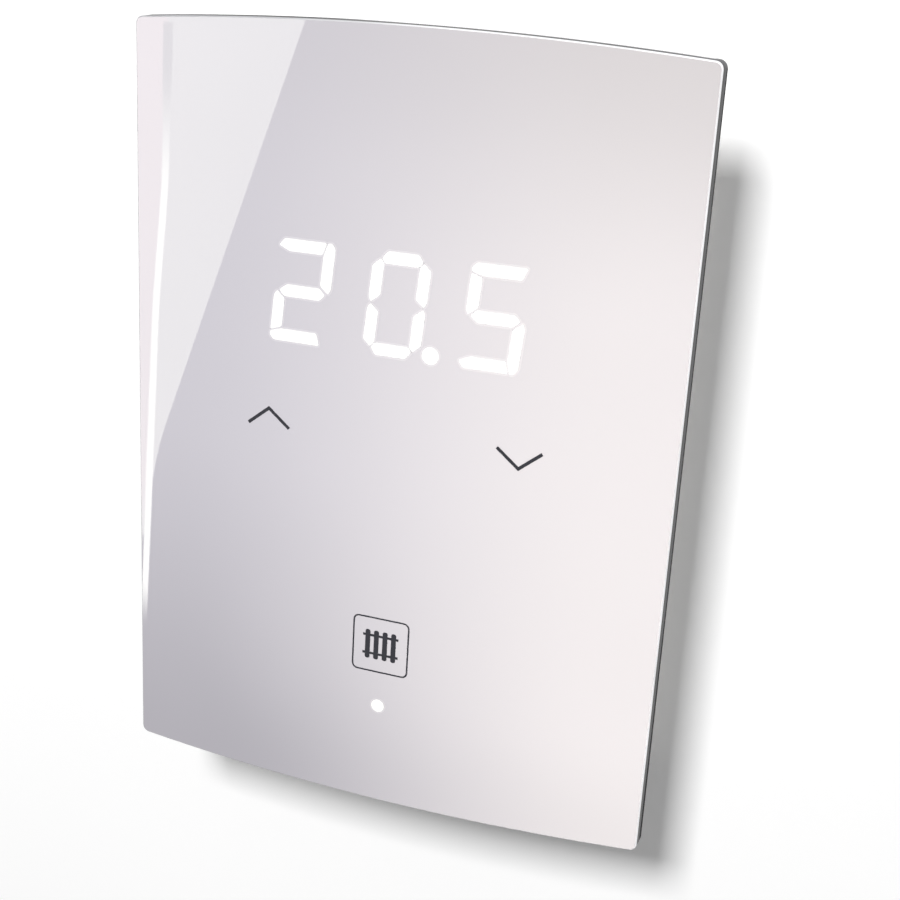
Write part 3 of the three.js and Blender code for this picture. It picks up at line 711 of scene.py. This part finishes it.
area_light("key", (-90, -1000, 742), 280, 270, 15.0)
area_light("back_fill", (500, 900, 500), 700, 700, 5)
area_light("back_rim", (-700, 700, 200), 400, 400, 3)

world = bpy.data.worlds.new("studio")
bpy.context.scene.world = world
world.use_nodes = True
world.node_tree.nodes["Background"].inputs["Color"].default_value = (1, 1, 1, 1)
world.node_tree.nodes["Background"].inputs["Strength"].default_value = 0.335

# ---------------------------------------------------------------- reflections in the lens


def mirrored_ray(point, facing, distance):
    """Where a ray from the camera goes after a surface at point, which faces along facing, reflects it."""
    along = (Vector(point) - camera.location / MM).normalized()
    return Vector(point) + along.reflect(Vector(facing).normalized()) * distance


def off_the_face(x, z, distance):
    """Off the lens's front at x and z."""
    slope = x / math.sqrt(FRONT_RADIUS**2 - x**2)
    return mirrored_ray((x, front_y(x), z), (slope, -1, 0), distance)


def off_the_top(x, tilt, distance):
    """Off the lens's upper side at x. tilt turns the side a little forwards or back, to spread the card."""
    point = (x, LENS_LOW.y + LENS_DEPTH / 2, EDGE_CENTRE_Z + math.sqrt(EDGE_RADIUS**2 - x**2))
    return mirrored_ray(point, (x / EDGE_RADIUS, tilt - TAPER / LENS_DEPTH, 1), distance)


def off_the_right(z, tilt, distance):
    """Off the lens's right side at z."""
    point = (HALF_WIDTH, LENS_LOW.y + LENS_DEPTH / 2, z)
    return mirrored_ray(point, (1, tilt - TAPER / LENS_DEPTH, 0), distance)


def smoothstep(low, high, value):
    """0 at low and 1 at high, with a smooth turn at both. low may be the larger."""
    t = min(max((value - low) / (high - low), 0), 1)
    return t * t * (3 - 2 * t)


def blend(near, far, share):
    return tuple(a + (b - a) * share for a, b in zip(near, far))


def reflection_card(name, low, high, left, right, distance, glow, columns, rows, bounce=off_the_face):
    """A glowing card that only reflections see.

    It shows on the lens's front, for z from low to high and x between left(z) and right(z), in the colour
    glow(x, z). With another bounce, x and z are what that bounce takes first and second.
    """
    vertices, faces, values = [], [], []
    for j in range(rows + 1):
        z = low + (high - low) * j / rows
        for i in range(columns + 1):
            x = left(z) + (right(z) - left(z)) * i / columns
            vertices.append(bounce(x, z, distance))
            values.append(glow(x, z))
    for j in range(rows):
        for i in range(columns):
            a = j * (columns + 1) + i
            faces.append((a, a + 1, a + columns + 2, a + columns + 1))
    look = bpy.data.materials.new(name)
    look.use_nodes = True
    tree = look.node_tree
    tree.nodes.remove(tree.nodes["Principled BSDF"])
    emission = tree.nodes.new("ShaderNodeEmission")
    attribute = tree.nodes.new("ShaderNodeAttribute")
    attribute.attribute_name = "glow"
    link(tree, attribute.outputs["Color"], emission.inputs["Color"])
    link(tree, emission.outputs["Emission"], tree.nodes["Material Output"].inputs["Surface"])
    card = add_mesh(name, None, [look], vertices, faces)
    colours = card.data.attributes.new("glow", "FLOAT_COLOR", "POINT")
    for entry, value in zip(colours.data, values):
        entry.color = (*value, 1)
    card.visible_camera = False
    card.visible_diffuse = False
    card.visible_shadow = False


def card_for(tone):
    """The card colour that makes the printed face look like tone."""
    return tuple(max(want - own * FACE_LIGHT, 0) / COAT_SHARE for want, own in zip(tone, FACE_PRINT))


def through(points):
    """x as a smooth line through points given as (z, x), from the top down."""

    def at(z):
        for (upper, start), (lower, end) in zip(points, points[1:]):
            if z >= lower or (lower, end) == points[-1]:
                return start + (end - start) * (upper - z) / (upper - lower)

    return lambda z: (at(z + 3) + 2 * at(z) + at(z - 3)) / 4


def sweep_glow(x, z):
    """The studio's soft sweep: warm and bright to the right, cool and darker low on the left."""
    lag = 10 * smoothstep(-30, -60, z)
    across = smoothstep(-38 + lag, 38 + 0.6 * lag, x)
    left = 0.64 - 0.185 * smoothstep(20, -66, z) - 0.03 * smoothstep(36, 60, z)
    right = 0.925 - 0.06 * smoothstep(-40, -60, z) - 0.2 * smoothstep(20, 64, z)
    value = left + (right - left) * across - 0.03 * smoothstep(-10, 20, z)
    return card_for((value, value * (0.967 - 0.02 * across), value * (1.05 - 0.1 * across)))


WINDOW_EDGE = through([(57.5, -15.4), (-6, -38.3), (-22, -41.6), (-60, -44)])
STREAK = through([(60, -36.4), (34, -37.1), (16, -38.8), (-35, -41.3), (-60, -42.4)])
FADE_TOP, FADE_LEFT = (62, 90), (-50, -90)  # where the cards fade out, past the lens's edges


def fading(tone, under, bottom, fade):
    """tone over the lens's left part, which fades into under below bottom and past the lens's edges."""

    def glow(x, z):
        below = smoothstep(bottom, bottom - fade, z)
        share = max(below, smoothstep(*FADE_TOP, z), smoothstep(*FADE_LEFT, x))
        return blend(card_for(tone), under(x, z), share)

    return glow


window_glow = fading((0.805, 0.788, 0.81), sweep_glow, -44, 30)
warm_glow = fading((0.84, 0.79, 0.82), window_glow, -12, 10)
bright_streak = fading((0.99, 0.98, 0.98), sweep_glow, -29, 9)


def streak_glow(x, z):
    """The streak starts as a dark line at the top and turns bright lower down."""
    return blend(bright_streak(x, z), card_for((0.72, 0.7, 0.73)), smoothstep(31, 52, z))


def far_left(z):
    return FADE_LEFT[1]


def streak_half_width(z):
    return 0.58 + 0.2 * smoothstep(40, 52, z)


EDGE_DARK = 0.03  # the light of a card that counts as dark
EDGE_TILT = 0.06  # how far the edge cards spread to either side, as a tilt of the lens's side


def top_edge_glow(x, tilt):
    """The lens's upper side mirrors something dark on the left and something bright on the right."""
    return (EDGE_DARK + 1.25 * smoothstep(-14, 2, x),) * 3


# Each of the first four cards lies closer to the lens than the one before, and covers it. The last two lie behind
# the wall, where the lens's sides mirror them.
reflection_card("sweep_card", -170, 170, lambda z: -170, lambda z: 170, 900, sweep_glow, 110, 110)
reflection_card("window_card", -75, FADE_TOP[1], far_left, WINDOW_EDGE, 880, window_glow, 30, 110)
reflection_card("warm_card", -22, FADE_TOP[1], far_left, STREAK, 870, warm_glow, 30, 90)
reflection_card(
    "streak_card",
    -39,
    56.6,
    lambda z: STREAK(z) - streak_half_width(z),
    lambda z: STREAK(z) + streak_half_width(z),
    860,
    streak_glow,
    2,
    90,
)
reflection_card(
    "top_edge_card",
    -EDGE_TILT,
    EDGE_TILT,
    lambda tilt: -HALF_WIDTH,
    lambda tilt: HALF_WIDTH,
    900,
    top_edge_glow,
    40,
    2,
    off_the_top,
)
reflection_card(
    "right_edge_card",
    -EDGE_TILT,
    EDGE_TILT,
    lambda tilt: -70,
    lambda tilt: 70,
    900,
    lambda z, tilt: (EDGE_DARK,) * 3,
    20,
    2,
    off_the_right,
)
